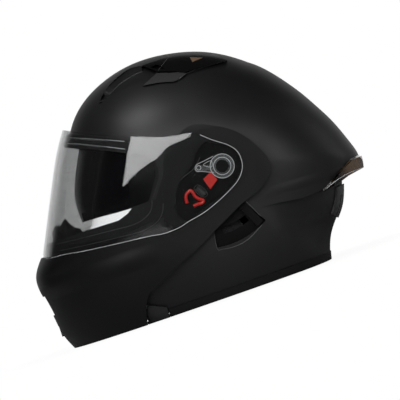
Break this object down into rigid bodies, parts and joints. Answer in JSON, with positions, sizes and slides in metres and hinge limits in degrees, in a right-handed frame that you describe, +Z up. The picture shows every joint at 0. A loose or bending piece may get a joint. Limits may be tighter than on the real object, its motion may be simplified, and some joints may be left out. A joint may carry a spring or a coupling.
{
  "type": "modular motorcycle helmet",
  "caption": "Matte modular motorcycle helmet with flip-up chin bar, clear visor on side pods, drop-down sun visor, vents, rear spoiler and padded lining.",
  "frame": {"origin": "middle of the helmet's footprint on the plane of its lower rim", "axes": "+X to the rear, -X the face side, +Y the wearer's right, +Z up"},
  "size_m": [0.3555, 0.2572, 0.2543],
  "materials": {
    "shell_black": "matte",
    "vent_gloss": "gloss",
    "trim_rubber": "matte",
    "foam": "matte",
    "lining_cloth": "woven",
    "strap_webbing": "woven",
    "clear_lens": "clear",
    "dark_lens": "smoked",
    "amber_lens": "smoked amber",
    "red_plastic": "satin",
    "dark_plastic": "satin",
    "pale_plastic": "satin",
    "steel": "brushed",
    "chrome_trim": "polished"
  },
  "bodies": {
    "shell_assembly": {"outer_shell": "shell_black", "rim_trim": "trim_rubber", "corner_clips": "dark_plastic", "eps_liner": "foam", "crown_pad": "lining_cloth", "neck_roll": "lining_cloth", "brow_gasket": "trim_rubber", "rear_spoiler": "amber_lens", "spoiler_trim": "chrome_trim", "rear_vent": "dark_plastic", "lever_tray": "dark_plastic", "strap_rivets": "steel", "buckle_receiver": "dark_plastic", "buckle_tongue": "dark_plastic", "side_gasket_left": "trim_rubber", "side_gasket_right": "trim_rubber", "top_vent_left": "vent_gloss", "top_vent_right": "vent_gloss", "top_vent_wing_left": "dark_plastic", "top_vent_wing_right": "dark_plastic", "chin_hinge_left": "steel", "chin_hinge_right": "steel", "lock_pin_left": "steel", "lock_pin_right": "steel", "cheek_pad_left": "lining_cloth", "cheek_pad_right": "lining_cloth", "strap_left": "strap_webbing", "strap_right": "strap_webbing", "strap_pad_left": "lining_cloth", "strap_pad_right": "lining_cloth"},
    "chin_bar_assembly": {"chin_bar": "shell_black", "chin_liner": "foam", "chin_curtain": "strap_webbing", "breath_guard": "trim_rubber", "lower_gasket": "trim_rubber", "chin_vent_frame": "dark_plastic", "visor_screws": "dark_plastic", "lock_fork_left": "steel", "lock_fork_right": "steel", "visor_base_left": "dark_plastic", "visor_base_right": "dark_plastic", "visor_pivot_left": "dark_plastic", "visor_pivot_right": "dark_plastic", "visor_fork_left": "red_plastic", "visor_fork_right": "red_plastic"},
    "visor_assembly": {"visor": "clear_lens", "visor_gear_left": "clear_lens", "visor_gear_right": "clear_lens"},
    "sun_visor_assembly": {"sun_visor": "dark_lens", "sun_visor_lever": "dark_plastic", "sun_arm_left": "dark_plastic", "sun_arm_right": "dark_plastic"},
    "vent_slider_body": {"chin_vent_slider": "dark_plastic"},
    "release_button_body": {"chin_release_button": "dark_plastic"},
    "left_slider_body": {"visor_slider_left": "red_plastic"},
    "right_slider_body": {"visor_slider_right": "red_plastic"},
    "buckle_lever_body": {"buckle_lever": "red_plastic"}
  },
  "joints": [
    {"name": "chin_bar_lift", "type": "hinge", "parent": "shell_assembly", "child": "chin_bar_assembly", "pos_m": [0.021, 0, 0.13106], "axis": [0, 1, 0], "range_deg": [0, 85]},
    {"name": "visor_lift", "type": "hinge", "parent": "chin_bar_assembly", "child": "visor_assembly", "pos_m": [0.0388, 0, 0.12497], "axis": [0, 1, 0], "range_deg": [0, 50]},
    {"name": "sun_visor_raise", "type": "hinge", "parent": "shell_assembly", "child": "sun_visor_assembly", "pos_m": [0.021, 0, 0.13106], "axis": [0, 1, 0], "range_deg": [0, 25]},
    {"name": "chin_vent_slide", "type": "slide", "parent": "chin_bar_assembly", "child": "vent_slider_body", "axis": [0, 0, -1], "range_m": [0, 0.006]},
    {"name": "release_button_push", "type": "slide", "parent": "chin_bar_assembly", "child": "release_button_body", "axis": [1, 0, 0], "range_m": [0, 0.003], "stiffness_N_per_m": 600},
    {"name": "visor_slider_left_pull", "type": "slide", "parent": "chin_bar_assembly", "child": "left_slider_body", "axis": [-0.8836, 0, -0.4683], "range_m": [0, 0.004], "stiffness_N_per_m": 300},
    {"name": "visor_slider_right_pull", "type": "slide", "parent": "chin_bar_assembly", "child": "right_slider_body", "axis": [-0.8836, 0, -0.4683], "range_m": [0, 0.004], "stiffness_N_per_m": 300},
    {"name": "buckle_lever_lift", "type": "hinge", "parent": "shell_assembly", "child": "buckle_lever_body", "pos_m": [-0.016, -0.0248, 0.0133], "axis": [1, 0, 0], "range_deg": [0, 35], "stiffness_Nm_per_rad": 0.05}
  ]
}
